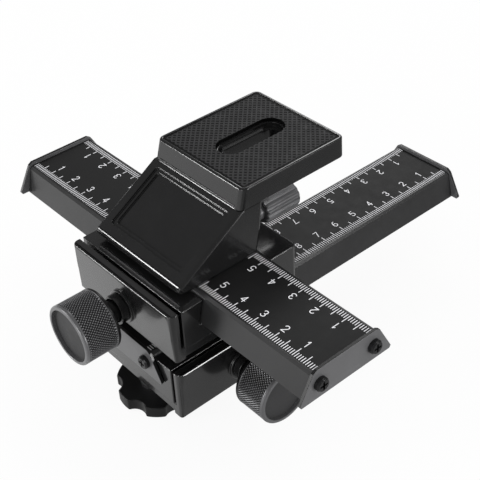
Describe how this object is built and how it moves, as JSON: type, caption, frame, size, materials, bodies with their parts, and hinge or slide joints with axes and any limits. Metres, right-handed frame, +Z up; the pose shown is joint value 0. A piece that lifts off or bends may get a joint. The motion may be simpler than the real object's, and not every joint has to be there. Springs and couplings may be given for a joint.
{
  "type": "macro focusing rail",
  "caption": "Two crossed rack-driven slides with a tilted-back camera platform, for fine focusing and side shift on a tripod.",
  "frame": {"origin": "centre of the tripod socket's mouth, on the underside of the threaded boss that the star wheel turns on", "axes": "+Z up, towards the camera; +X along the upper rail, towards the lower drive knob's end; +Y along the lower rail, from the near end plate to the far one"},
  "size_m": [0.1648, 0.1847, 0.0895],
  "materials": {
    "carriage_paint": "satin black paint on cast metal",
    "platform_paint": "satin black paint on cast metal",
    "collar": "turned, black",
    "boss_metal": "turned",
    "shaft_steel": "ground",
    "brass": "machined",
    "knob": "black, knurled",
    "knob_disc": "matt dark grey",
    "lock_knob": "black, fluted",
    "star_plastic": "black moulded plastic",
    "rail": "dark grey anodised",
    "scale_plate": "matt dark grey with white scale",
    "end_plate": "dark grey",
    "screw": "blackened",
    "rubber_pad": "black, cross-hatched"
  },
  "bodies": {
    "base": {"lower_carriage": "carriage_paint", "lower_collar": "collar", "tripod_boss": "boss_metal"},
    "lower_drive": {"lower_shaft": "shaft_steel", "lower_pinion": "brass", "lower_drive_knob": "knob", "lower_knob_disc": "knob_disc"},
    "lower_lock": {"lower_lock_screw": "shaft_steel", "lower_lock_knob": "lock_knob"},
    "star": {"star_wheel": "star_plastic"},
    "cross_slide": {"rail_b": "rail", "rack_b": "brass", "scale_plate_b": "scale_plate", "end_plate_b_near": "end_plate", "end_plate_b_far": "end_plate", "end_screws_b": "screw", "upper_carriage": "carriage_paint", "carriage_screws": "shaft_steel", "upper_collar": "collar"},
    "upper_drive": {"upper_shaft": "shaft_steel", "upper_pinion": "brass", "upper_drive_knob": "knob", "upper_knob_disc": "knob_disc"},
    "upper_lock": {"upper_lock_screw": "shaft_steel", "upper_lock_knob": "lock_knob"},
    "top_slide": {"rail_a": "rail", "rack_a": "brass", "scale_plate_a": "scale_plate", "end_plate_a_near": "end_plate", "end_plate_a_far": "end_plate", "end_screws_a": "screw", "platform": "platform_paint", "platform_screws": "shaft_steel", "platform_pad": "rubber_pad"}
  },
  "joints": [
    {"name": "lower_slide", "type": "slide", "parent": "base", "child": "cross_slide", "axis": [0, 1, 0], "range_m": [-0.1, 0]},
    {"name": "upper_slide", "type": "slide", "parent": "cross_slide", "child": "top_slide", "axis": [1, 0, 0], "range_m": [-0.05, 0.05]},
    {"name": "lower_drive_turn", "type": "hinge", "parent": "base", "child": "lower_drive", "pos_m": [0, 0.0173, 0.0209], "axis": [1, 0, 0], "range_deg": [-5, 1150]},
    {"name": "upper_drive_turn", "type": "hinge", "parent": "cross_slide", "child": "upper_drive", "pos_m": [0, 0.0173, 0.0478], "axis": [0, 1, 0], "range_deg": [-575, 575]},
    {"name": "lower_lock_turn", "type": "hinge", "parent": "base", "child": "lower_lock", "pos_m": [0, 0.0173, 0.0288], "axis": [1, 0, 0], "range_deg": [-180, 180]},
    {"name": "upper_lock_turn", "type": "hinge", "parent": "cross_slide", "child": "upper_lock", "pos_m": [0, 0.0173, 0.0557], "axis": [0, 1, 0], "range_deg": [-180, 180]},
    {"name": "star_turn", "type": "hinge", "parent": "base", "child": "star", "pos_m": [0, 0, 0], "axis": [0, 0, 1], "range_deg": [-360, 360]}
  ],
  "couplings": [
    {"joint": "lower_drive_turn", "follows": "lower_slide", "rad_per_m": -200},
    {"joint": "upper_drive_turn", "follows": "upper_slide", "rad_per_m": 200}
  ]
}
